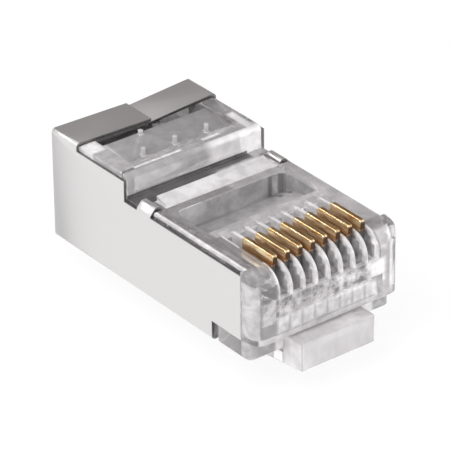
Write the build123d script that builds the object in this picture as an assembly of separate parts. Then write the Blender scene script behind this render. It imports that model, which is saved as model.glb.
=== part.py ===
from build123d import *
import os
from math import radians, tan

os.makedirs("parts", exist_ok=True)

# Shielded 8-position modular plug, millimetres.
# X runs across the plug, Y from the nose to the cable end, Z up to the contact side.
# Origin: centre line, plane of the nose face, plane of the shield's underside.

# Shield, one folded sheet
sheet = 0.2
shield_width = 11.6
shield_rear = 21.95
bend_radius = 0.32
wall_front_height = 6.12
wall_rear_height = 7.62
step_at = 13.95
strip_top = 8.2
strip_length = 2.8
seam_at = 0.2
seam_overlap = 0.3
seam_gap = 0.05
seam_sag = 0.15
notch_rear = 4.75
notch_height = 1.42
ear_front = 11.14
ear_length = 1.48
ear_rise = 0.6
ear_bend_rise = 0.1
ear_shoulder_inset = 0.35
ear_reach = 0.9
ear_drop = 0.82
ear_tip_taper = 0.45
ear_taper_length = 0.55
ear_bends = [0.2, 0.15, 0.12]

# Moulded housing
shell_gap = 0.03
nose_width = 11.78
nose_length = 1.67
nose_bottom = 1.55
nose_corner = 0.8
nose_round = 1.5
nose_lower_round = 0.12
deck_height = 6.5
flange_front = 0.86
flange_length = 3.2
flange_corner = 0.5
groove_floor = 6.3
groove_front = 12.3
rear_inset = 0.05
rear_round = 0.4
edge_round = 0.12
ridge_front = 11.03
ridge_rise = 0.3
ridge_width = 8.8
ear_pocket_gap = 0.1
ear_pocket_spare = 0.15
strip_relief = 0.12
strip_relief_lead = 0.1
pocket_width = 8.9
pocket_front = 6.8
pocket_rear = 10.3
pocket_corner = 0.6
pocket_lip = 0.3
pocket_bend_from_rear = 0.98
pocket_floor_front = 5.75
pocket_floor_middle = 5.4
pocket_floor_rear = 4.9
window_width = 8.7
window_front = 15.3
window_rear = 20.3
window_corner = 0.5
rear_bar_height = 7.5
cavity_front = 9.6
cavity_floor = 1.3
cavity_roof = 6.3
cavity_corner = 0.6
guide_floor = 2.6
guide_roof = 4.25
guide_floor_end = 2.4
guide_length = 1.2
throat_front = 10.9
throat_rear = 12.6
throat_roof = 5.8
throat_end = 14.5

# Contacts and the slots they stand in
positions = 8
pitch = 1.02
contact_thickness = 0.35
contact_front = 1.0
contact_length = 3.2
contact_top = 7.15
contact_lip_bottom = 6.5
contact_lip = 0.2
contact_body_bottom = 4.75
contact_tip_round = 0.28
tine_tip = 4.0
tine_count = 3
crimp_travel = 1.1
slot_width = 0.8
slot_rear = 5.95
slot_floor = 4.6
slot_floor_middle = 4.9
slot_floor_rear = 5.4
slot_facet = 0.43
slot_facet_drop = 0.35
blade_gap = 0.02
blade_end_gap = 0.05
blade_slot_bottom_gap = 0.2
blade_lip_round = 0.05
tunnel_diameter = 0.94
tunnel_height = 3.5
tunnel_front = 1.0
tunnel_ramp_length = 0.9
tunnel_ramp_floor = 2.2
tunnel_ramp_width = 0.85

# Latch
latch_width = 6.0
latch_tail_width = 3.25
latch_shoulder = 8.4
latch_tail_end = 14.0
latch_root_front = -0.95
latch_root_top = 1.3
latch_root_bottom = -0.75
latch_kink = 1.49
latch_kink_bottom = -1.05
latch_slope = 8.5
latch_thickness = 1.0
latch_root_round = 0.1
latch_kink_round = 1.0
latch_end_round = 0.25
latch_shoulder_round = 0.3
latch_tail_round = 0.4
latch_axis_y = 1.0
latch_axis_z = 0.72
latch_barrel_radius = 0.6
latch_pivot_gap = 0.04
latch_side_gap = 0.06
latch_neck_gap = 0.33
latch_neck_length = 0.6

# Cable clamp
clamp_side_gap = 0.1
clamp_axis_y = 15.45
clamp_axis_drop = 0.67
clamp_barrel_radius = 0.22
clamp_pivot_gap = 0.04
clamp_rear = 18.4
clamp_rear_drop = 0.07
clamp_rear_height = 0.75
clamp_edge_back = 1.1
clamp_edge_height = 6.35
clamp_round = 0.12
pip_radius = 0.17
pip_rise = 0.25
pip_pitch = 2.6
pip_row = 16.1
pip_rear_x = -1.3
pip_rear_y = 18.15

# How far a cutting block reaches past what it cuts
spare = 1.0

# Positions that follow from the sizes above
wall_outer = shield_width / 2
wall_inner = wall_outer - sheet
wall_centre = wall_outer - sheet / 2
body_half = wall_inner - shell_gap
ear_top = wall_front_height + ear_rise
ear_tip_height = ear_top - ear_drop
ear_shoulder = wall_centre - ear_shoulder_inset
ear_inner_face = wall_outer - ear_reach
ear_pocket_floor = ear_tip_height - ear_pocket_spare
body_bottom = sheet + shell_gap
shield_front = nose_length + shell_gap
housing_top = strip_top - sheet - shell_gap
housing_rear = shield_rear - rear_inset
clamp_axis_z = housing_top - clamp_axis_drop
clamp_rear_top = housing_top - clamp_rear_drop
pip_top = clamp_rear_top + pip_rise
strip_front = shield_rear - strip_length
rear_section = step_at - rear_inset
flange_rear = flange_front + flange_length
flange_top = notch_height - shell_gap
contact_rear = contact_front + contact_length
blade_half = contact_thickness / 2 + blade_gap
first_contact = -(positions - 1) * pitch / 2
latch_tail_bottom = latch_kink_bottom - tan(radians(latch_slope)) * (latch_tail_end - latch_kink)


def box(x0, x1, y0, y1, z0, z1):
    """A box between two opposite corners."""
    centre = Pos((x0 + x1) / 2, (y0 + y1) / 2, (z0 + z1) / 2)
    return centre * Box(x1 - x0, y1 - y0, z1 - z0)


def side_slab(points, width, radii=None):
    """A closed outline of (y, z) points, given a width across X about the centre line."""
    rounds = radii if radii else [0] * len(points)
    line = FilletPolyline(*points, radius=rounds, close=True)
    face = make_face(Plane.YZ * line)
    return extrude(face, amount=width / 2, both=True)


def plan_slab(points, z0, z1, radii=None):
    """A closed outline of (x, y) points, standing from z0 to z1."""
    rounds = radii if radii else [0] * len(points)
    line = FilletPolyline(*points, radius=rounds, close=True)
    return Pos(0, 0, z0) * extrude(make_face(line), amount=z1 - z0)


def across(radius, y, z, width):
    """A cylinder across X with its axis through (y, z)."""
    return Pos(0, y, z) * (Rot(0, 90, 0) * Cylinder(radius, width))


def contact_x(i):
    """Centre plane of contact i."""
    return first_contact + i * pitch


def lower_front(solid, radius):
    """Rounds the bottom edges of a block, all but the one at its rear."""
    edges = solid.edges().group_by(Axis.Z)[0].sort_by(Axis.Y)[:-1]
    return fillet(edges, radius)


def nose():
    """The exposed front block, rounded at its front corners and along its top front edge."""
    half = nose_width / 2
    plan = [(-half, nose_length), (-half, 0), (half, 0), (half, nose_length)]
    block = plan_slab(plan, nose_bottom, deck_height, [0, nose_corner, nose_corner, 0])
    block = lower_front(block, nose_lower_round)
    start = deck_height - nose_round
    corner = box(-nose_width, nose_width, -spare, nose_round, start, deck_height + spare)
    corner -= across(nose_round, nose_round, start, 3 * nose_width)
    return block - corner


def flange():
    """The foot below the nose, as wide as the shield, beside the latch."""
    plan = [(-wall_outer, flange_rear), (-wall_outer, flange_front), (wall_outer, flange_front),
            (wall_outer, flange_rear)]
    foot = plan_slab(plan, sheet, flange_top, [0, flange_corner, flange_corner, 0])
    return lower_front(foot, nose_lower_round)


def inner_body():
    """The part of the housing that the shield wraps, with its step up to the cable end."""
    start = flange_front + nose_lower_round
    behind_round = (nose_round + nose_length) / 2
    middle = (nose_bottom + deck_height) / 2
    points = [
        (start, body_bottom), (housing_rear, body_bottom), (housing_rear, housing_top),
        (rear_section, housing_top), (rear_section, groove_floor), (groove_front, groove_floor),
        (groove_front, deck_height), (behind_round, deck_height), (behind_round, middle),
        (start, middle),
    ]
    radii = [0, 0, edge_round, rear_round, 0, 0, edge_round, 0, 0, 0]
    body = side_slab(points, 2 * body_half, radii)
    long = body.edges().filter_by(Axis.Y).group_by(Axis.Z)
    return fillet([*long[0], *long[-1]], edge_round)


def ridge():
    """The low ramp across the deck in front of the groove."""
    points = [(ridge_front, deck_height), (groove_front, deck_height + ridge_rise),
              (groove_front, groove_floor), (ridge_front, groove_floor)]
    return side_slab(points, ridge_width)


def ear_pockets():
    """Recesses that take the two bent ears of the shield."""
    front = ear_front - ear_pocket_gap
    rear = ear_front + ear_length + ear_pocket_gap
    inner = ear_inner_face - ear_pocket_gap
    top = housing_top + spare
    right = box(inner, wall_outer + spare, front, rear, ear_pocket_floor, top)
    left = box(-wall_outer - spare, -inner, front, rear, ear_pocket_floor, top)
    return right + left


def deck_pocket():
    """The sunk field behind the contacts, deepest at its rear wall."""
    half = pocket_width / 2
    top = deck_height + spare
    bend = pocket_rear - pocket_bend_from_rear
    points = [(pocket_front, deck_height), (pocket_front + pocket_lip, pocket_floor_front),
              (bend, pocket_floor_middle), (pocket_rear, pocket_floor_rear), (pocket_rear, top),
              (pocket_front, top)]
    plan = [(-half, pocket_front), (half, pocket_front), (half, pocket_rear), (-half, pocket_rear)]
    column = plan_slab(plan, pocket_floor_rear - spare, top, [0, 0, pocket_corner, pocket_corner])
    return side_slab(points, pocket_width) & column


def cable_cavity():
    """The way in for the cable, narrowing to the row of wire tunnels."""
    points = [
        (cavity_front, guide_floor), (cavity_front, guide_roof), (throat_front, guide_roof),
        (throat_rear, throat_roof), (throat_end, throat_roof), (window_front, cavity_roof),
        (housing_rear + spare, cavity_roof), (housing_rear + spare, cavity_floor),
        (throat_rear, cavity_floor), (cavity_front + guide_length, guide_floor_end),
    ]
    body = side_slab(points, window_width)
    long = body.edges().filter_by(Axis.Y).group_by(Axis.Z)
    return fillet([*long[0], *long[-1]], cavity_corner)


def window():
    """The opening over the cable, where the clamp lies."""
    half = window_width / 2
    plan = [(-half, window_front), (half, window_front), (half, window_rear), (-half, window_rear)]
    radii = [0, 0, window_corner, window_corner]
    return plan_slab(plan, cavity_roof - spare, housing_top + spare, radii)


def contact_slot(i):
    """One contact's cuts: wide slot, narrow blade slot, wire tunnel and its front ramp."""
    x = contact_x(i)
    top = deck_height + spare
    rear_top = deck_height - slot_facet_drop
    slot = [(-spare, slot_floor), (contact_front, slot_floor), (contact_rear, slot_floor_middle),
            (slot_rear, slot_floor_rear), (slot_rear, rear_top), (slot_rear + slot_facet, deck_height),
            (slot_rear + slot_facet, top), (-spare, top)]
    wide = Pos(x, 0, 0) * side_slab(slot, slot_width)
    bottom = tine_tip - crimp_travel - blade_slot_bottom_gap
    narrow = box(x - blade_half, x + blade_half, contact_front + contact_lip - blade_end_gap,
                 contact_rear + blade_end_gap, bottom, top)
    radius = tunnel_diameter / 2
    run = cavity_front + spare / 2 - tunnel_front
    bore = Rot(90, 0, 0) * Cylinder(radius, run)
    tunnel = Pos(x, tunnel_front + run / 2, tunnel_height) * bore
    ramp_points = [(tunnel_front, tunnel_height), (tunnel_front, tunnel_height - radius),
                   (tunnel_front + tunnel_ramp_length, tunnel_ramp_floor),
                   (tunnel_front + 2 * tunnel_ramp_length, tunnel_height)]
    ramp = Pos(x, 0, 0) * side_slab(ramp_points, tunnel_ramp_width)
    return [wide, narrow, tunnel, ramp]


def latch_seat():
    """The gap under the nose for the latch, with a socket for its rounded root."""
    half = latch_width / 2 + latch_side_gap
    gap = box(-half, half, latch_root_front - spare, latch_axis_y, -spare, nose_bottom)
    socket = across(latch_barrel_radius + latch_pivot_gap, latch_axis_y, latch_axis_z, 2 * half)
    return gap + socket


def strip_recess():
    """The lowered top at the cable end, under the two halves of the strip."""
    front = strip_front - strip_relief_lead
    side = wall_outer + spare
    return box(-side, side, front, housing_rear + spare, housing_top - strip_relief,
               housing_top + spare)


def clamp_seat():
    """The shallow groove behind the front bar of the window, where the clamp turns."""
    return across(clamp_barrel_radius + clamp_pivot_gap, clamp_axis_y, clamp_axis_z, window_width)


def housing():
    """The clear moulded body."""
    body = inner_body() + nose() + flange() + ridge()
    body -= ear_pockets()
    body -= deck_pocket()
    body -= cable_cavity()
    body -= window()
    half = window_width / 2
    body -= box(-half, half, window_rear - window_corner, housing_rear + spare, rear_bar_height,
                housing_top + spare)
    body -= strip_recess()
    body -= clamp_seat()
    body -= latch_seat()
    for i in range(positions):
        for cut in contact_slot(i):
            body -= cut
    return body


def bent_strip(points, radii, y0, y1):
    """Sheet bent along a path of (x, z) points, as wide as y0 to y1."""
    line = FilletPolyline(*points, radius=radii)
    face = trace(line, sheet)
    solid = extrude(face, amount=y1 - y0)
    return Pos(0, y1, 0) * (Rot(90, 0, 0) * solid)


def shield():
    """The folded metal sleeve: floor, two stepped walls, two strip halves and two ears."""
    radius = bend_radius - sheet / 2
    floor = sheet / 2
    trough = bent_strip(
        [(-wall_centre, wall_rear_height), (-wall_centre, floor), (wall_centre, floor),
         (wall_centre, wall_rear_height)],
        [radius, radius], shield_front, shield_rear)
    high = wall_rear_height + spare
    kept = [(shield_front, notch_height), (notch_rear, notch_height), (notch_rear, -spare),
            (shield_rear, -spare), (shield_rear, high), (step_at, high),
            (step_at, wall_front_height), (shield_front, wall_front_height)]
    sleeve = trough & side_slab(kept, shield_width + spare)
    strip_z = strip_top - sheet / 2
    left_end = seam_at + seam_overlap / 2
    left_z = strip_z - seam_sag
    sleeve += bent_strip(
        [(-wall_centre, wall_front_height), (-wall_centre, strip_z), (left_end, left_z)],
        [radius], strip_front, shield_rear)
    right_end = seam_at - seam_overlap / 2
    right_z = left_z - sheet - seam_gap
    sleeve += bent_strip(
        [(wall_centre, wall_front_height), (wall_centre, strip_z), (right_end, right_z)],
        [radius], strip_front, shield_rear)
    for side in (-1, 1):
        sleeve += ear(side)
    return sleeve


def ear(side):
    """A tab of the wall, folded over the deck's edge and down into its pocket, with a tapered end."""
    crest = ear_top - sheet / 2
    flank = ear_inner_face + sheet / 2
    path = [(wall_centre, wall_front_height - spare),
            (wall_centre, wall_front_height + ear_bend_rise), (ear_shoulder, crest), (flank, crest),
            (flank, ear_tip_height)]
    front = ear_front
    rear = ear_front + ear_length
    tab = bent_strip([(side * x, z) for x, z in path], ear_bends, front, rear)
    start = ear_tip_height + ear_taper_length
    low = ear_tip_height - spare
    taper = ear_tip_taper * (start - low) / ear_taper_length
    for edge, way in ((front, 1), (rear, -1)):
        wedge = [(edge, start), (edge + way * taper, low), (edge, low)]
        if way < 0:
            wedge.reverse()
        tab -= side_slab(wedge, 2 * ear_shoulder)
    return tab


def contact(i):
    """One flat contact blade with a coined top and pointed tines."""
    root = contact_front + contact_lip
    tine = (contact_rear - root) / tine_count
    points = [(contact_front, contact_lip_bottom), (contact_front, contact_top),
              (contact_rear, contact_top), (contact_rear, contact_body_bottom)]
    radii = [blade_lip_round, contact_tip_round, contact_tip_round, 0]
    for k in range(tine_count):
        y = contact_rear - k * tine
        points += [(y - tine / 2, tine_tip)]
        radii += [0]
        if k < tine_count - 1:
            points += [(y - tine, contact_body_bottom)]
            radii += [0]
    points += [(root, contact_body_bottom), (root, contact_lip_bottom - blade_lip_round)]
    radii += [0, 0]
    blade = side_slab(points, contact_thickness, radii)
    return Pos(contact_x(i), 0, 0) * blade


def latch():
    """The spring arm: rounded root, wide shank to the shoulders, narrow tail."""
    rise = tan(radians(latch_slope))
    top_end = latch_tail_bottom + latch_thickness
    neck = latch_axis_y + latch_neck_length
    neck_top = body_bottom - latch_neck_gap
    points = [
        (latch_root_front, latch_root_top), (latch_root_front, latch_root_bottom),
        (latch_kink, latch_kink_bottom), (latch_tail_end, latch_tail_bottom),
        (latch_tail_end, top_end), (neck, min(neck_top, top_end + rise * (latch_tail_end - neck))),
        (latch_axis_y, neck_top), (latch_axis_y, latch_root_top),
    ]
    radii = [latch_root_round, latch_root_round, latch_kink_round, latch_end_round,
             latch_end_round, 0, 0, 0]
    arm = side_slab(points, latch_width, radii)
    arm += across(latch_barrel_radius, latch_axis_y, latch_axis_z, latch_width)
    half = latch_width / 2
    tail = latch_tail_width / 2
    front = latch_root_front - spare
    plan = [(-half, front), (half, front), (half, latch_shoulder), (tail, latch_shoulder),
            (tail, latch_tail_end), (-tail, latch_tail_end), (-tail, latch_shoulder),
            (-half, latch_shoulder)]
    radii = [0, 0, 0, latch_shoulder_round, latch_tail_round, latch_tail_round,
             latch_shoulder_round, 0]
    return arm & plan_slab(plan, latch_tail_bottom - spare, latch_root_top + spare, radii)


def cable_clamp():
    """The wedge bar over the cable, with four moulded pips on its back."""
    width = window_width - 2 * clamp_side_gap
    front_top = clamp_axis_z + clamp_barrel_radius
    points = [
        (clamp_axis_y, clamp_axis_z - clamp_barrel_radius), (clamp_axis_y, front_top),
        (clamp_rear, clamp_rear_top), (clamp_rear, clamp_rear_top - clamp_rear_height),
        (clamp_rear - clamp_edge_back, clamp_edge_height),
    ]
    bar = side_slab(points, width, [0, 0, clamp_round, clamp_round, clamp_round])
    bar += across(clamp_barrel_radius, clamp_axis_y, clamp_axis_z, width)
    places = [(k * pip_pitch, pip_row) for k in (-1, 0, 1)] + [(pip_rear_x, pip_rear_y)]
    base = clamp_axis_z
    for x, y in places:
        bar += Pos(x, y, (base + pip_top) / 2) * Cylinder(pip_radius, pip_top - base)
    return bar


export_step(housing(), "parts/housing.step")
export_step(shield(), "parts/shield.step")
export_step(latch(), "parts/latch.step")
export_step(cable_clamp(), "parts/cable_clamp.step")
for number in range(positions):
    export_step(contact(number), f"parts/contact_{number + 1}.step")
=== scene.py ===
import math

import bmesh
import bpy
import numpy as np
from mathutils import Matrix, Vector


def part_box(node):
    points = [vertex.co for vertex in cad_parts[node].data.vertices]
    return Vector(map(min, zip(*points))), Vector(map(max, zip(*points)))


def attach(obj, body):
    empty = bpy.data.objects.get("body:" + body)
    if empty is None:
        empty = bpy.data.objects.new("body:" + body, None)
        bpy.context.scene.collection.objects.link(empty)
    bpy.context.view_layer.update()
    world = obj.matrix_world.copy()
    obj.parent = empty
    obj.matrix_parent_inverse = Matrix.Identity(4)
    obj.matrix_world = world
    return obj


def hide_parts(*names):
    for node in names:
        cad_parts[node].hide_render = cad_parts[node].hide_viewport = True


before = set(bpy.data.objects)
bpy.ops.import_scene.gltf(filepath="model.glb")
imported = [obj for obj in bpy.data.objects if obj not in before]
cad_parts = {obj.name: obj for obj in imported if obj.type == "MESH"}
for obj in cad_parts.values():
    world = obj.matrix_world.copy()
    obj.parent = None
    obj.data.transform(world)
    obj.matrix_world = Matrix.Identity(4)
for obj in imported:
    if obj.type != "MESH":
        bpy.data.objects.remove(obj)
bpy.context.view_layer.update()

# Housing: the clear moulded body, one piece of polished polycarbonate. Its mould edges are rolled
# over less than a tenth of a millimetre, and those edges catch the light.

MM = 0.001
HOUSING_EDGE = 0.07 * MM
SAME_POINT = 1e-6
SAME_PLANE = math.radians(0.5)
PLASTIC_TINT = (1.0, 0.975, 0.99)
PLASTIC_INDEX = 1.585
WAVE_SCALE = 420.0
CLOUD_SCALE = 1300.0
CLOUD_LEVELS = (0.38, 0.62)


def softened(node, name, edge, steps=2, angle=35):
    """A copy of a node with its loose triangles joined, its flat faces made whole and every edge
    sharper than the angle rolled over by the edge width. The rolled edges take the piece's second
    material."""
    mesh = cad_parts[node].data.copy()
    mesh.name = name
    piece = bpy.data.objects.new(name, mesh)
    bpy.context.scene.collection.objects.link(piece)
    work = bmesh.new()
    work.from_mesh(mesh)
    bmesh.ops.remove_doubles(work, verts=work.verts, dist=SAME_POINT)
    bmesh.ops.dissolve_limit(work, angle_limit=SAME_PLANE, verts=work.verts, edges=work.edges)
    for face in work.faces:
        face.smooth = True
    work.to_mesh(mesh)
    work.free()
    mesh.materials.clear()
    bevel = piece.modifiers.new("rolled edges", "BEVEL")
    bevel.width = edge
    bevel.segments = steps
    bevel.limit_method = "ANGLE"
    bevel.angle_limit = math.radians(angle)
    bevel.harden_normals = True
    bevel.use_clamp_overlap = True
    bevel.material = 1
    return piece


def shader(name, **values):
    """A material whose main shader takes the given socket values, with its tree and that shader."""
    material = bpy.data.materials.new(name)
    material.use_nodes = True
    tree = material.node_tree
    main = tree.nodes["Principled BSDF"]
    for socket, value in values.items():
        main.inputs[socket.replace("_", " ")].default_value = value
    return material, tree, main


def add(tree, kind, **values):
    """One more node in a material, with its named settings and sockets set."""
    node = tree.nodes.new(kind)
    for key, value in values.items():
        if key in node.inputs:
            node.inputs[key].default_value = value
        else:
            setattr(node, key, value)
    return node


def ramp(tree, value, start, end, kind="LINEAR"):
    """Nought at the start value and one at the end value, straight or smooth between them."""
    node = add(tree, "ShaderNodeMapRange", interpolation_type=kind)
    node.inputs["From Min"].default_value = start
    node.inputs["From Max"].default_value = end
    tree.links.new(value, node.inputs["Value"])
    return node.outputs["Result"]


def zone(tree, place, low, high, soft):
    """One inside the box between two corners and nought outside it, with a border of the given
    width, all in millimetres."""
    low, high = np.array(low) * MM, np.array(high) * MM
    shift = add(tree, "ShaderNodeVectorMath", operation="SUBTRACT")
    shift.inputs[1].default_value = ((low + high) / 2).tolist()
    tree.links.new(place, shift.inputs[0])
    away = add(tree, "ShaderNodeVectorMath", operation="ABSOLUTE")
    tree.links.new(shift.outputs[0], away.inputs[0])
    past = add(tree, "ShaderNodeVectorMath", operation="SUBTRACT")
    past.inputs[1].default_value = ((high - low) / 2).tolist()
    tree.links.new(away.outputs[0], past.inputs[0])
    parts = add(tree, "ShaderNodeSeparateXYZ")
    tree.links.new(past.outputs[0], parts.inputs[0])
    flat = add(tree, "ShaderNodeMath", operation="MAXIMUM")
    tree.links.new(parts.outputs["X"], flat.inputs[0])
    tree.links.new(parts.outputs["Y"], flat.inputs[1])
    most = add(tree, "ShaderNodeMath", operation="MAXIMUM")
    tree.links.new(flat.outputs[0], most.inputs[0])
    tree.links.new(parts.outputs["Z"], most.inputs[1])
    return ramp(tree, most.outputs[0], soft / 2 * MM, -soft / 2 * MM, "SMOOTHSTEP")


def clear_plastic(name, body, fields=(), stretch=(1.0, 1.0, 1.0)):
    """Clear plastic with a share of milky haze under a polished skin. The body and each field give
    brightness, haze, roughness and contrast; a field is a box with a soft border, mostly painted
    light and painted shade as brighter, darker or milkier plastic, and on the clamp also its pale
    mould pips. Fine cloudy marks run through the plastic, stretched if wanted."""
    material, tree, main = shader(name, IOR=1.42, Roughness=body[2], Coat_Weight=0.5,
                                  Coat_Roughness=0.04, Coat_IOR=PLASTIC_INDEX,
                                  Transmission_Weight=1 - body[1])
    place = add(tree, "ShaderNodeTexCoord").outputs["Object"]
    wave = add(tree, "ShaderNodeTexNoise", Scale=WAVE_SCALE, Detail=3.0, Roughness=0.55,
               Distortion=0.6)
    tree.links.new(place, wave.inputs["Vector"])
    bump = add(tree, "ShaderNodeBump", Strength=0.12, Distance=0.12 * MM)
    tree.links.new(wave.outputs["Fac"], bump.inputs["Height"])
    tree.links.new(bump.outputs["Normal"], main.inputs["Normal"])
    drawn = add(tree, "ShaderNodeMapping")
    drawn.inputs["Scale"].default_value = stretch
    tree.links.new(place, drawn.inputs["Vector"])
    cloud = add(tree, "ShaderNodeTexNoise", Scale=CLOUD_SCALE, Detail=4.0, Roughness=0.6)
    tree.links.new(drawn.outputs["Vector"], cloud.inputs["Vector"])
    marks = ramp(tree, cloud.outputs["Fac"], *CLOUD_LEVELS)
    level = add(tree, "ShaderNodeCombineXYZ", X=body[0], Y=body[1], Z=body[2]).outputs[0]
    depth = add(tree, "ShaderNodeValue")
    depth.outputs[0].default_value = body[3]
    depth = depth.outputs[0]
    for corner, far, soft, *values in fields:
        inside = zone(tree, place, corner, far, soft)
        step = add(tree, "ShaderNodeMix", data_type="VECTOR")
        step.inputs[5].default_value = values[:3]
        tree.links.new(inside, step.inputs[0])
        tree.links.new(level, step.inputs[4])
        level = step.outputs[1]
        deeper = add(tree, "ShaderNodeMix", data_type="FLOAT")
        deeper.inputs[3].default_value = values[3]
        tree.links.new(inside, deeper.inputs[0])
        tree.links.new(depth, deeper.inputs[2])
        depth = deeper.outputs[0]
    parts = add(tree, "ShaderNodeSeparateXYZ")
    tree.links.new(level, parts.inputs[0])
    lack = add(tree, "ShaderNodeMath", operation="SUBTRACT")
    lack.inputs[0].default_value = 1
    tree.links.new(marks, lack.inputs[1])
    darker = add(tree, "ShaderNodeMath", operation="MULTIPLY")
    tree.links.new(lack.outputs[0], darker.inputs[0])
    tree.links.new(depth, darker.inputs[1])
    kept = add(tree, "ShaderNodeMath", operation="SUBTRACT")
    kept.inputs[0].default_value = 1
    tree.links.new(darker.outputs[0], kept.inputs[1])
    grey = add(tree, "ShaderNodeMath", operation="MULTIPLY")
    tree.links.new(parts.outputs["X"], grey.inputs[0])
    tree.links.new(kept.outputs[0], grey.inputs[1])
    tint = add(tree, "ShaderNodeVectorMath", operation="SCALE")
    tint.inputs[0].default_value = PLASTIC_TINT
    tree.links.new(grey.outputs[0], tint.inputs["Scale"])
    tree.links.new(tint.outputs[0], main.inputs["Base Color"])
    clear = add(tree, "ShaderNodeMath", operation="SUBTRACT")
    clear.inputs[0].default_value = 1
    tree.links.new(parts.outputs["Y"], clear.inputs[1])
    tree.links.new(clear.outputs[0], main.inputs["Transmission Weight"])
    tree.links.new(parts.outputs["Z"], main.inputs["Roughness"])
    return material
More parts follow.
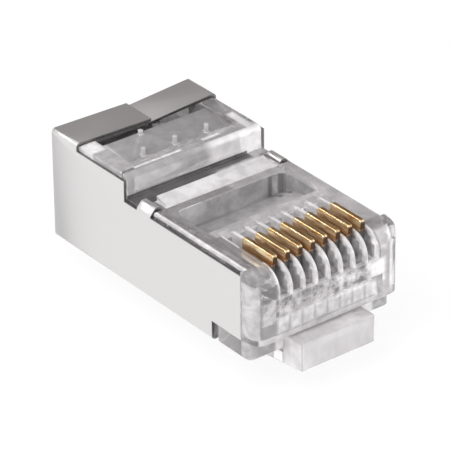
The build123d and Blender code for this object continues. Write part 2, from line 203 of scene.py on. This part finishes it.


# Fields of the housing in millimetres: corner, opposite corner, border, then brightness, haze,
# roughness and contrast. A later field covers an earlier one where they meet. Each field is painted
# light and shade: darker fields are painted shade, brighter or milkier ones are painted highlights
# and painted light seen through the plastic.
PAINTED_LIGHT_FIELDS = [
    # nose: its middle, then its left cheek and side, then its right cheek
    ((-4.3, -0.1, 3.1), (4.3, 0.3, 4.6), 0.3, 1.0, 0.4, 0.1, 0.75),
    ((-5.4, -0.1, 4.7), (-4.2, 0.4, 6.0), 0.25, 0.30, 0.45, 0.15, 0.4),
    ((-5.4, -0.1, 2.0), (-4.3, 0.3, 3.1), 0.25, 1.0, 0.2, 0.15, 0.4),
    ((-5.4, -0.1, 3.0), (-4.3, 0.3, 4.6), 0.25, 1.0, 0.4, 0.15, 0.5),
    ((-6.0, -0.2, 2.0), (-5.5, 1.5, 5.9), 0.1, 1.0, 0.35, 0.15, 0.3),
    ((-5.9, -0.1, 6.0), (-4.1, 1.5, 6.7), 0.2, 0.65, 0.3, 0.15, 0.4),
    ((4.2, -0.2, 1.9), (5.3, 1.5, 6.3), 0.25, 1.0, 0.35, 0.15, 0.2),
    ((3.1, -0.3, 2.9), (4.6, 0.3, 4.55), 0.4, 1.0, 0.7, 0.2, 0.2),
    # slots between the ribs, then the rims of the ribs, which curve back from the nose
    ((-4.1, 0.15, 4.5), (4.1, 1.6, 6.45), 0.1, 0.85, 0.3, 0.2, 0.5),
    ((-4.1, -0.1, 4.6), (4.1, 0.32, 5.7), 0.2, 1.0, 0.6, 0.2, 0.4),
    ((-4.1, 0.1, 5.5), (4.1, 0.62, 6.1), 0.2, 1.0, 0.6, 0.2, 0.4),
    ((-4.1, 0.4, 5.95), (4.1, 1.0, 6.4), 0.2, 1.0, 0.6, 0.2, 0.4),
    ((-4.1, 0.8, 6.2), (4.1, 1.7, 6.7), 0.2, 1.0, 0.6, 0.2, 0.4),
    # lower lip of the nose, the brightest patch of painted light in its middle, and the ground of
    # the
    #     facets, all painted light seen through the nose
    ((-5.6, -0.2, 1.4), (5.3, 0.3, 2.05), 0.12, 1.0, 0.4, 0.15, 0.3),
    ((0.3, -0.3, 3.25), (3.4, 0.3, 4.5), 0.5, 1.0, 0.55, 0.1, 0.8),
    ((-4.4, -0.2, 2.0), (4.4, 0.2, 3.4), 0.15, 0.96, 0.26, 0.15, 0.3),
    # front of the flange, painted shade on its right end, and a patch of painted light on each side
    #     of the latch
    ((-6.0, 0.8, 0.1), (6.0, 1.7, 1.5), 0.1, 0.78, 0.4, 0.15, 0.3),
    ((4.2, 0.8, 0.1), (6.0, 1.7, 1.5), 0.1, 0.60, 0.6, 0.2, 0.3),
    ((-3.7, 0.5, 0.0), (-2.6, 1.3, 1.4), 0.35, 1.0, 0.85, 0.2, 0.2),
    ((2.4, 0.5, 0.0), (4.3, 1.3, 1.6), 0.35, 1.0, 0.8, 0.2, 0.2),
    # right half of the deck, the deck behind the slots, the flat tops of the ribs and the slots
    ((0.5, 1.8, 6.3), (6.0, 12.3, 6.9), 0.4, 0.95, 0.22, 0.15, 0.2),
    ((-4.4, 5.95, 6.0), (4.4, 6.9, 6.8), 0.15, 0.82, 0.35, 0.35, 0.3),
    ((-4.1, 4.1, 6.43), (4.1, 5.98, 6.8), 0.06, 1.0, 0.5, 0.2, 0.2),
    ((-4.1, 4.2, 4.8), (4.1, 6.1, 6.43), 0.06, 0.88, 0.36, 0.25, 0.25),
    # pocket: painted shade on its floor, rear wall and left end, and two streaks of painted shade
    # at
    #     its right end
    ((-4.6, 6.7, 4.8), (4.6, 9.95, 6.43), 0.06, 0.72, 0.32, 0.4, 0.35),
    ((-4.6, 9.9, 4.8), (4.6, 10.5, 6.43), 0.06, 0.40, 0.45, 0.4, 0.4),
    ((-4.7, 6.6, 4.8), (-3.5, 10.5, 6.43), 0.5, 0.36, 0.45, 0.4, 0.3),
    ((3.2, 9.0, 4.8), (3.55, 10.5, 6.4), 0.15, 0.15, 0.6, 0.3, 0.2),
    ((4.0, 9.0, 4.8), (4.35, 10.5, 6.4), 0.15, 0.15, 0.6, 0.3, 0.2),
    # left edge of the deck with a painted highlight, the ridge, the step with painted shade on its
    #     left and a painted highlight on its right, and the groove in front of it in painted shade,
    #     with a paler patch
    ((-5.7, 1.6, 6.3), (-5.36, 11.0, 6.8), 0.06, 1.0, 0.6, 0.2, 0.3),
    ((-4.6, 11.0, 6.4), (4.6, 12.35, 7.0), 0.06, 0.65, 0.7, 0.2, 0.22),
    ((-6.0, 13.5, 6.4), (1.9, 14.3, 8.4), 0.15, 0.56, 0.45, 0.15, 0.2),
    ((1.2, 13.5, 6.4), (6.0, 14.5, 8.4), 1.0, 0.92, 0.6, 0.15, 0.15),
    ((-6.0, 12.3, 5.8), (4.3, 13.98, 6.5), 0.08, 0.10, 0.6, 0.2, 0.4),
    ((1.2, 12.3, 5.6), (4.5, 13.15, 6.5), 0.5, 0.80, 0.55, 0.2, 0.3),
    # frame round the window, with painted highlight streaks, painted shade on its left side and a
    #     painted highlight patch at its rear left
    ((-4.6, 14.3, 7.8), (4.6, 15.3, 8.4), 0.1, 0.92, 0.25, 0.15, 0.3),
    ((-4.5, 14.45, 7.8), (-0.7, 14.65, 8.4), 0.2, 1.0, 0.6, 0.2, 0.3),
    ((1.2, 14.65, 7.8), (2.6, 14.9, 8.4), 0.2, 1.0, 0.6, 0.2, 0.3),
    ((4.6, 14.3, 7.8), (5.2, 16.6, 8.4), 0.3, 1.0, 0.5, 0.2, 0.3),
    ((-5.8, 14.6, 7.4), (-4.3, 19.2, 8.4), 0.08, 0.60, 0.5, 0.15, 0.25),
    ((-5.6, 17.7, 7.4), (-4.4, 19.3, 8.4), 0.4, 1.0, 0.7, 0.2, 0.2),
    # front face of the bar behind the window: painted shade on its left part, under the strip, and
    #     painted light on its right part, as if shining through from behind
    ((-4.6, 20.1, 6.0), (1.3, 20.5, 7.6), 0.6, 0.05, 0.75, 0.3, 0.2),
    ((2.0, 20.1, 6.0), (4.6, 20.5, 7.6), 0.4, 1.0, 0.8, 0.3, 0.2),
]
# Facets along the front of the nose: bright milky patches, painted light standing in for the light
# seen through the nose.
FACET_PITCH = 1.02
FACET_SHIFT = 3.65
FACET_HALF = 0.43
FACET_HEIGHTS = (2.12, 3.22)
for number in range(8):
    middle = (number - FACET_SHIFT) * FACET_PITCH
    PAINTED_LIGHT_FIELDS.append(((middle - FACET_HALF, -0.2, FACET_HEIGHTS[0]),
                   (middle + FACET_HALF, 0.2, FACET_HEIGHTS[1]), 0.28, 1.0, 0.5, 0.2, 0.35))

# Small ovals of painted shade in the left part of the nose, where the tunnels behind it show dark
# through the plastic.
OVAL_HALF_WIDTH = 0.15
OVAL_HALF_HEIGHT = 0.2
for across, height in ((-4.2, 4.4), (-3.17, 4.38), (-2.14, 4.35), (-4.2, 3.54)):
    PAINTED_LIGHT_FIELDS.append(((across - OVAL_HALF_WIDTH, -0.1, height - OVAL_HALF_HEIGHT),
                   (across + OVAL_HALF_WIDTH, 0.3, height + OVAL_HALF_HEIGHT), 0.12,
                   0.2, 0.7, 0.2, 0.1))

body_plastic = clear_plastic("clear polycarbonate", (0.92, 0.1, 0.1, 0.18), PAINTED_LIGHT_FIELDS)
# The rolled edges take a paler, milkier plastic than the body: a painted highlight along the edges,
# over the light that the rounded edges really catch. The front faces of the rib rims take a milky
# plastic too: painted pale light on the rims.
edge_highlight_plastic = clear_plastic("plastic edges", (0.98, 0.5, 0.12, 0.08))
rim_light_plastic = clear_plastic("rib rims", (0.92, 0.5, 0.2, 0.25))
housing = softened("housing", "housing_clear", HOUSING_EDGE)
housing.data.materials.append(body_plastic)
housing.data.materials.append(edge_highlight_plastic)
housing.data.materials.append(rim_light_plastic)
RIM_SIDE, RIM_REAR, RIM_FOOT = 4.1 * MM, 1.6 * MM, 4.95 * MM
for face in housing.data.polygons:
    x, y, z = abs(face.center.x), face.center.y, face.center.z
    if abs(face.normal.x) < 0.2 and x < RIM_SIDE and y < RIM_REAR and z > RIM_FOOT:
        face.material_index = 2
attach(housing, "plug")
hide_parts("housing")

# Contacts: eight flat blades stamped from bronze strip and plated with gold. Their top edges are
# coined smooth, and their flanks keep fine streaks along the strip.

BLADE_EDGE = 0.08 * MM
SHADED_TOP = (7.06 * MM, 7.14 * MM)
LOW_FLANK = (6.95 * MM, 6.5 * MM)
FRONT_EDGE = (1.02 * MM, 1.10 * MM)
ROOT = (6.24 * MM, 6.36 * MM)
STREAK_SCALE = 5200.0


def plated_gold(name, low, high, rough, top_shade):
    """Gold plate over stamped bronze: soft streaks along the blade between two tones, then painted
    shade: a darker, browner top face, darker low flanks, a dark brown front edge, and a dark grey
    root painted as the shade inside the slot."""
    material, tree, main = shader(name, Metallic=0.8, Roughness=rough)
    place = add(tree, "ShaderNodeTexCoord")
    stretch = add(tree, "ShaderNodeMapping")
    stretch.inputs["Scale"].default_value = (1.0, 0.18, 1.0)
    tree.links.new(place.outputs["Object"], stretch.inputs["Vector"])
    marks = add(tree, "ShaderNodeTexNoise", Scale=STREAK_SCALE, Detail=3.0, Roughness=0.6)
    tree.links.new(stretch.outputs["Vector"], marks.inputs["Vector"])
    tone = add(tree, "ShaderNodeValToRGB")
    tone.color_ramp.elements[0].position = 0.4
    tone.color_ramp.elements[0].color = (*low, 1)
    tone.color_ramp.elements[1].position = 0.6
    tone.color_ramp.elements[1].color = (*high, 1)
    tree.links.new(marks.outputs["Fac"], tone.inputs["Fac"])
    parts = add(tree, "ShaderNodeSeparateXYZ")
    tree.links.new(place.outputs["Object"], parts.inputs[0])
    # Painted shade: the low flanks darker and browner towards the deck.
    shaded = add(tree, "ShaderNodeMix", data_type="RGBA", blend_type="MULTIPLY")
    shaded.inputs[7].default_value = (0.60, 0.43, 0.31, 1)
    tree.links.new(ramp(tree, parts.outputs["Z"], *LOW_FLANK, "SMOOTHSTEP"), shaded.inputs[0])
    tree.links.new(tone.outputs["Color"], shaded.inputs[6])
    # Painted shade on the top face, darker and browner above the top height.
    top = add(tree, "ShaderNodeMix", data_type="RGBA", blend_type="MULTIPLY")
    top.inputs[7].default_value = (top_shade, top_shade * 0.86, top_shade * 0.68, 1)
    tree.links.new(ramp(tree, parts.outputs["Z"], *SHADED_TOP), top.inputs[0])
    tree.links.new(shaded.outputs[2], top.inputs[6])
    # Painted shade: the front edge of the blade painted dark brown.
    painted_dark_front = add(tree, "ShaderNodeMix", data_type="RGBA")
    painted_dark_front.inputs[6].default_value = (0.07, 0.035, 0.016, 1)
    tree.links.new(ramp(tree, parts.outputs["Y"], *FRONT_EDGE), painted_dark_front.inputs[0])
    tree.links.new(top.outputs[2], painted_dark_front.inputs[7])
    # Painted shade: the root of the blade painted dark grey where it goes down into the slot.
    slot_shade = add(tree, "ShaderNodeMix", data_type="RGBA")
    slot_shade.inputs[6].default_value = (0.15, 0.14, 0.13, 1)
    tree.links.new(ramp(tree, parts.outputs["Z"], *ROOT), slot_shade.inputs[0])
    tree.links.new(painted_dark_front.outputs[2], slot_shade.inputs[7])
    tree.links.new(slot_shade.outputs[2], main.inputs["Base Color"])
    bump = add(tree, "ShaderNodeBump", Strength=0.3, Distance=0.02 * MM)
    tree.links.new(marks.outputs["Fac"], bump.inputs["Height"])
    tree.links.new(bump.outputs["Normal"], main.inputs["Normal"])
    return material


gold = plated_gold("gold plate", (0.62, 0.36, 0.18), (1.0, 0.85, 0.56), 0.32, 0.32)
# The rolled edges of the blades take a lighter, smoother gold: smoother as coined edges are, and
# lighter as a painted highlight.
gold_edge_highlight = plated_gold("gold plate edges", (0.90, 0.62, 0.30), (1.0, 0.92, 0.70), 0.2, 1.0)
for number in range(1, 9):
    node = f"contact_{number}"
    blade = softened(node, f"blade_{number}", BLADE_EDGE, steps=3)
    blade.data.materials.append(gold)
    blade.data.materials.append(gold_edge_highlight)
    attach(blade, node)
    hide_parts(node)

# Cable clamp: the wedge bar that the crimp folds down on the cable. It is part of the same clear
# moulding and carries four small pips left by the mould.

PIPS = [(-2.6, 16.1), (0.0, 16.1), (2.6, 16.1), (-1.3, 18.15)]
PIP_ZONE = 0.22
CLAMP_FIELDS = [((x - PIP_ZONE, y - PIP_ZONE, 7.0), (x + PIP_ZONE, y + PIP_ZONE, 9.0),
                 0.04, 0.6, 0.6, 0.3, 0.2) for x, y in PIPS]
# A paler field at the left end of the wedge: painted light.
CLAMP_FIELDS.append(((-4.5, 15.0, 6.0), (-4.0, 19.0, 8.2), 0.2, 0.6, 0.6, 0.3, 0.2))
# The clamp's plastic is made grey and milkier than the housing's: painted shade on the same clear
# plastic.
shaded_clamp_plastic = clear_plastic("clamp plastic", (0.36, 0.55, 0.3, 0.2), CLAMP_FIELDS)
clamp = softened("cable_clamp", "clamp_bar", HOUSING_EDGE)
clamp.data.materials.append(shaded_clamp_plastic)
clamp.data.materials.append(edge_highlight_plastic)
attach(clamp, "cable_clamp")
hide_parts("cable_clamp")

# Latch: the spring arm under the plug, with a thick block at its root and a narrow tail. It is
# moulded in one with the housing from the same clear plastic, and its edges are a little rounder.

LATCH_EDGE = 0.09 * MM

# Painted light and shade on the latch: its left side, painted light on the root behind the block,
# # and painted shade on the top of the block.
LATCH_LIGHT_AND_SHADE = [
    ((-3.2, -1.2, -4.0), (-2.88, 14.5, 1.5), 0.1, 0.92, 0.45, 0.2, 0.25),
    ((-3.2, 1.05, -1.1), (-2.7, 1.9, 0.5), 0.1, 1.0, 0.85, 0.2, 0.0),
    ((-3.2, -1.2, 1.22), (3.2, 1.1, 1.6), 0.08, 0.75, 0.4, 0.2, 0.15),
]
latch_plastic = clear_plastic("latch plastic", (0.98, 0.35, 0.16, 0.12), LATCH_LIGHT_AND_SHADE,
                              (1.0, 1.0, 0.5))
latch_edge = clear_plastic("latch edges", (0.86, 0.35, 0.12, 0.1))
latch = softened("latch", "latch_arm", LATCH_EDGE, steps=3)
latch.data.materials.append(latch_plastic)
latch.data.materials.append(latch_edge)
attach(latch, "latch")
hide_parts("latch")

# Shield: one sheet of nickel-plated steel, stamped and folded round the housing. Its plate is
# satin, with a very fine grain along the roll.

SHEET_EDGE = 0.03 * MM
GRAIN_SCALE = 16000.0
PATCH_SCALE = 260.0
POLISH = (0.24, 0.36)
WALL_INSIDE = 5.55 * MM
STRIP_UNDERSIDE = 7.7 * MM


def satin_nickel():
    """Satin nickel plate: even grey with a faint grain along Y and soft uneven patches."""
    material, tree, main = shader("satin nickel", Base_Color=(0.75, 0.738, 0.735, 1), Metallic=1.0,
                                  Roughness=0.3)
    place = add(tree, "ShaderNodeTexCoord")
    stretch = add(tree, "ShaderNodeMapping")
    stretch.inputs["Scale"].default_value = (1.0, 0.06, 1.0)
    tree.links.new(place.outputs["Object"], stretch.inputs["Vector"])
    grain = add(tree, "ShaderNodeTexNoise", Scale=GRAIN_SCALE, Detail=2.0, Roughness=0.5)
    tree.links.new(stretch.outputs["Vector"], grain.inputs["Vector"])
    patches = add(tree, "ShaderNodeTexNoise", Scale=PATCH_SCALE, Detail=2.0, Roughness=0.5)
    tree.links.new(place.outputs["Object"], patches.inputs["Vector"])
    polish = add(tree, "ShaderNodeMapRange")
    polish.inputs["To Min"].default_value, polish.inputs["To Max"].default_value = POLISH
    tree.links.new(patches.outputs["Fac"], polish.inputs["Value"])
    tree.links.new(polish.outputs["Result"], main.inputs["Roughness"])
    bump = add(tree, "ShaderNodeBump", Strength=0.08, Distance=0.01 * MM)
    tree.links.new(grain.outputs["Fac"], bump.inputs["Height"])
    tree.links.new(bump.outputs["Normal"], main.inputs["Normal"])
    return material


def cut_edge_and_gap_shade():
    """The sheared edge of the sheet, duller than the plate on its faces, and darker partly as a
    bare cut and partly as painted shade of the thin gaps between the sheet and the plastic.
    """
    material, tree, main = shader("cut sheet edge", Metallic=1.0, Roughness=0.45)
    place = add(tree, "ShaderNodeTexCoord")
    marks = add(tree, "ShaderNodeTexNoise", Scale=9000.0, Detail=2.0, Roughness=0.5)
    tree.links.new(place.outputs["Object"], marks.inputs["Vector"])
    tone = add(tree, "ShaderNodeValToRGB")
    tone.color_ramp.elements[0].color = (0.12, 0.115, 0.115, 1)
    tone.color_ramp.elements[1].color = (0.30, 0.29, 0.29, 1)
    tree.links.new(marks.outputs["Fac"], tone.inputs["Fac"])
    tree.links.new(tone.outputs["Color"], main.inputs["Base Color"])
    return material


nickel = satin_nickel()
shield = softened("shield", "shield_sheet", SHEET_EDGE)
shield.data.materials.append(nickel)
shield.data.materials.append(cut_edge_and_gap_shade())
# The sheared edges and the tops of the side walls take the dark edge material: painted shade for
# the gaps along them.
for face in shield.data.polygons:
    x, y, z = abs(face.center.x), face.center.y, face.center.z
    sheared = abs(face.normal.y) > 0.9
    wall_top = face.normal.z > 0.9 and x > WALL_INSIDE and z < STRIP_UNDERSIDE
    if sheared or wall_top:
        face.material_index = 1
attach(shield, "plug")
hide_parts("shield")

# Floor and studio: a white floor that keeps a faint shadow, and a pale room with one grey card
# behind the plug, which its top faces mirror.

FLOOR_SIZE = 0.6
FLOOR_GAP = 0.02 * MM
FLOOR_GREY = 0.86
FLOOR_GLOW = 0.99
GLOW_SHARE = 0.92
CARD_WAY = (0.80, 0.60, 0.0)
CARD_SIDES = (0.4, 0.15)
CARD_TOP = (0.74, 0.88)
CARD_GREY = (0.33, 0.315, 0.31, 1)


def see_background(tree):
    """One where a ray comes from the camera, a reflection or a view through plastic."""
    path = add(tree, "ShaderNodeLightPath")
    first = add(tree, "ShaderNodeMath", operation="MAXIMUM")
    tree.links.new(path.outputs["Is Camera Ray"], first.inputs[0])
    tree.links.new(path.outputs["Is Glossy Ray"], first.inputs[1])
    both = add(tree, "ShaderNodeMath", operation="MAXIMUM")
    tree.links.new(first.outputs[0], both.inputs[0])
    tree.links.new(path.outputs["Is Transmission Ray"], both.inputs[1])
    return both.outputs[0]


floor_level = float(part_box("latch")[0][2]) - FLOOR_GAP
floor_mesh = bpy.data.meshes.new("floor")
corners = np.array([[-1, -1], [1, -1], [1, 1], [-1, 1]], float) * FLOOR_SIZE
floor_mesh.from_pydata([(x, y, floor_level) for x, y in corners.tolist()], [], [(0, 1, 2, 3)])
floor = bpy.data.objects.new("floor", floor_mesh)
bpy.context.scene.collection.objects.link(floor)
floor_paint = bpy.data.materials.new("white floor")
floor_paint.use_nodes = True
floor_tree = floor_paint.node_tree
floor_tree.nodes.clear()
floor_out = add(floor_tree, "ShaderNodeOutputMaterial")
matte = add(floor_tree, "ShaderNodeBsdfDiffuse", Color=(FLOOR_GREY, FLOOR_GREY, FLOOR_GREY, 1))
glow = add(floor_tree, "ShaderNodeEmission", Color=(1, 1, 1, 1), Strength=FLOOR_GLOW)
share = add(floor_tree, "ShaderNodeMath", operation="MULTIPLY")
share.inputs[1].default_value = GLOW_SHARE
floor_tree.links.new(see_background(floor_tree), share.inputs[0])
floor_mix = add(floor_tree, "ShaderNodeMixShader")
floor_tree.links.new(share.outputs[0], floor_mix.inputs[0])
floor_tree.links.new(matte.outputs[0], floor_mix.inputs[1])
floor_tree.links.new(glow.outputs[0], floor_mix.inputs[2])
floor_tree.links.new(floor_mix.outputs[0], floor_out.inputs["Surface"])
floor_mesh.materials.append(floor_paint)

world = bpy.data.worlds.new("studio")
bpy.context.scene.world = world
world.use_nodes = True
room = world.node_tree
room.nodes.clear()
room_out = add(room, "ShaderNodeOutputWorld")
direction = add(room, "ShaderNodeTexCoord")
toward = add(room, "ShaderNodeVectorMath", operation="DOT_PRODUCT")
toward.inputs[1].default_value = CARD_WAY
room.links.new(direction.outputs["Generated"], toward.inputs[0])
beside = ramp(room, toward.outputs["Value"], *CARD_SIDES, "SMOOTHSTEP")
height = add(room, "ShaderNodeSeparateXYZ")
room.links.new(direction.outputs["Generated"], height.inputs[0])
above = ramp(room, height.outputs["Z"], *CARD_TOP, "SMOOTHSTEP")
clear_of_card = add(room, "ShaderNodeMath", operation="MAXIMUM")
room.links.new(beside, clear_of_card.inputs[0])
room.links.new(above, clear_of_card.inputs[1])
card = add(room, "ShaderNodeMix", data_type="RGBA")
card.inputs[6].default_value = CARD_GREY
card.inputs[7].default_value = (1, 1, 1, 1)
room.links.new(clear_of_card.outputs[0], card.inputs[0])
around = add(room, "ShaderNodeBackground", Strength=1.0)
room.links.new(card.outputs[2], around.inputs["Color"])
plain = add(room, "ShaderNodeBackground", Color=(1, 1, 1, 1), Strength=1.0)
path = add(room, "ShaderNodeLightPath")
room_mix = add(room, "ShaderNodeMixShader")
room.links.new(path.outputs["Is Camera Ray"], room_mix.inputs[0])
room.links.new(around.outputs[0], room_mix.inputs[1])
room.links.new(plain.outputs[0], room_mix.inputs[2])
room.links.new(room_mix.outputs[0], room_out.inputs["Surface"])


def soft_box(name, place, aim, size, power):
    """A square area lamp of the given side, turned so that it faces the aim."""
    lamp = bpy.data.lights.new(name, "AREA")
    lamp.energy = power
    lamp.size = size
    holder = bpy.data.objects.new(name, lamp)
    bpy.context.scene.collection.objects.link(holder)
    way = np.array(aim) - np.array(place)
    way = way / np.linalg.norm(way)
    back = -way
    right = np.cross([0, 0, 1.0], back)
    right = right / np.linalg.norm(right)
    up = np.cross(back, right)
    turn = np.eye(4)
    turn[:3, 0], turn[:3, 1], turn[:3, 2], turn[:3, 3] = right, up, back, place
    holder.matrix_world = Matrix(turn.tolist())
    return holder


LAMP_AIM = (0, 0.01, 0.003)
soft_box("key box", (-0.12, -0.05, 0.16), LAMP_AIM, 0.1, 0.35)
soft_box("fill box", (0.16, -0.08, 0.08), LAMP_AIM, 0.12, 0.15)
soft_box("edge box", (-0.124, 0.182, 0.1355), LAMP_AIM, 0.04, 0.1)

# Camera: a long lens in front of the nose, to the left of it and above. Its place and its turn
# were fitted to the corners of the plug.

TARGET = np.array([-0.6099, 10.0, 4.2969]) * MM
DISTANCE = 243.748 * MM
FOCAL_LENGTH = 299.369
SENSOR_WIDTH = 36
AZIMUTH, ELEVATION, ROLL = math.radians(-37.5984), math.radians(29.7243), math.radians(-0.6048)
back = np.array([math.sin(AZIMUTH) * math.cos(ELEVATION), -math.cos(AZIMUTH) * math.cos(ELEVATION),
                 math.sin(ELEVATION)])
right = np.array([math.cos(AZIMUTH), math.sin(AZIMUTH), 0.0])
up = np.cross(back, right)
across, along = math.cos(ROLL), math.sin(ROLL)
pose = np.eye(4)
pose[:3, 0], pose[:3, 1] = across * right + along * up, across * up - along * right
pose[:3, 2] = back
pose[:3, 3] = TARGET + back * DISTANCE
lens = bpy.data.cameras.new("camera")
lens.lens = FOCAL_LENGTH
lens.sensor_width = SENSOR_WIDTH
lens.clip_start = 0.01
camera = bpy.data.objects.new("camera", lens)
bpy.context.scene.collection.objects.link(camera)
camera.matrix_world = Matrix(pose.tolist())
bpy.context.scene.camera = camera
bpy.context.scene.view_settings.view_transform = "Standard"
